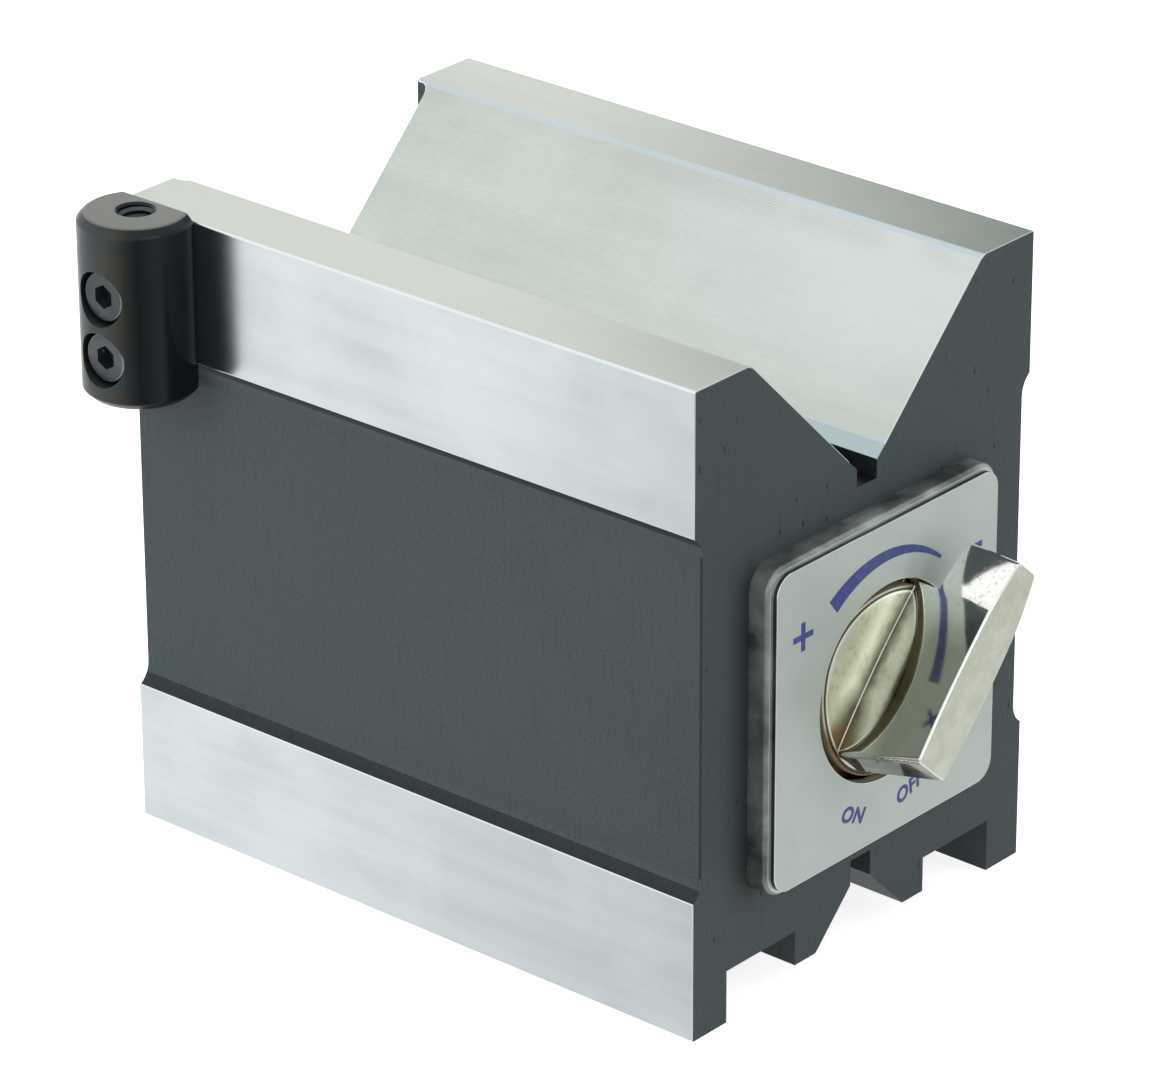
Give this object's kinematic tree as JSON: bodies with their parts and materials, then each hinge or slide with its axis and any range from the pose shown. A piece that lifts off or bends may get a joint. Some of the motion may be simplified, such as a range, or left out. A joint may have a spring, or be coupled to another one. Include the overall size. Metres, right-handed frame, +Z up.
{
  "type": "magnetic v-block",
  "caption": "Magnetic V-block with ground strips, a 90 degree V, a switching knob on a brushed plate and a round holder for a clamp post.",
  "frame": {"origin": "middle of the block's footprint, on the plane of its feet", "axes": "+Z up through the V, +Y along the V away from the knob end, +X across, post holder on the -X side"},
  "size_m": [0.0818, 0.1182, 0.0942],
  "materials": {
    "pole": "dark blue-grey texture paint, ground strips",
    "separator": "dull brass",
    "bezel": "dark plated steel",
    "label": "brushed, pale grey-green",
    "cover": "dark blue-grey texture paint",
    "bush": "machined brass",
    "inner_steel": "machined",
    "magnet": "cast magnet alloy, ground",
    "knob": "polished nickel plate",
    "seal": "black",
    "fastener": "zinc plate",
    "black_steel": "black oxide, oiled"
  },
  "bodies": {
    "block": {"left_pole": "pole", "right_pole": "pole", "upper_separator": "separator", "lower_separator": "separator", "front_bezel": "bezel", "label_plate": "label", "rear_cover": "cover", "front_bush": "bush", "rear_bush": "bush", "thrust_washer": "bush", "stop_pin": "inner_steel", "post_holder": "black_steel", "post_screw_lower": "black_steel", "post_screw_upper": "black_steel", "bezel_screw_lower_left": "fastener", "bezel_screw_lower_right": "fastener", "bezel_screw_upper_left": "fastener", "bezel_screw_upper_right": "fastener", "cover_screw_lower_left": "fastener", "cover_screw_lower_right": "fastener", "cover_screw_upper_left": "fastener", "cover_screw_upper_right": "fastener"},
    "rotor": {"knob": "knob", "seal_ring": "seal", "drive_disc": "bush", "rear_disc": "bush", "magnet_bar": "magnet", "lower_rotor_shoe": "inner_steel", "upper_rotor_shoe": "inner_steel", "drive_screw_lower_left": "fastener", "drive_screw_lower_right": "fastener", "drive_screw_upper_left": "fastener", "drive_screw_upper_right": "fastener", "rear_screw_lower_left": "fastener", "rear_screw_lower_right": "fastener", "rear_screw_upper_left": "fastener", "rear_screw_upper_right": "fastener"}
  },
  "joints": [
    {"name": "knob_turn", "type": "hinge", "parent": "block", "child": "rotor", "pos_m": [0, 0, 0.041], "axis": [0, -1, 0], "range_deg": [0, 90]}
  ]
}
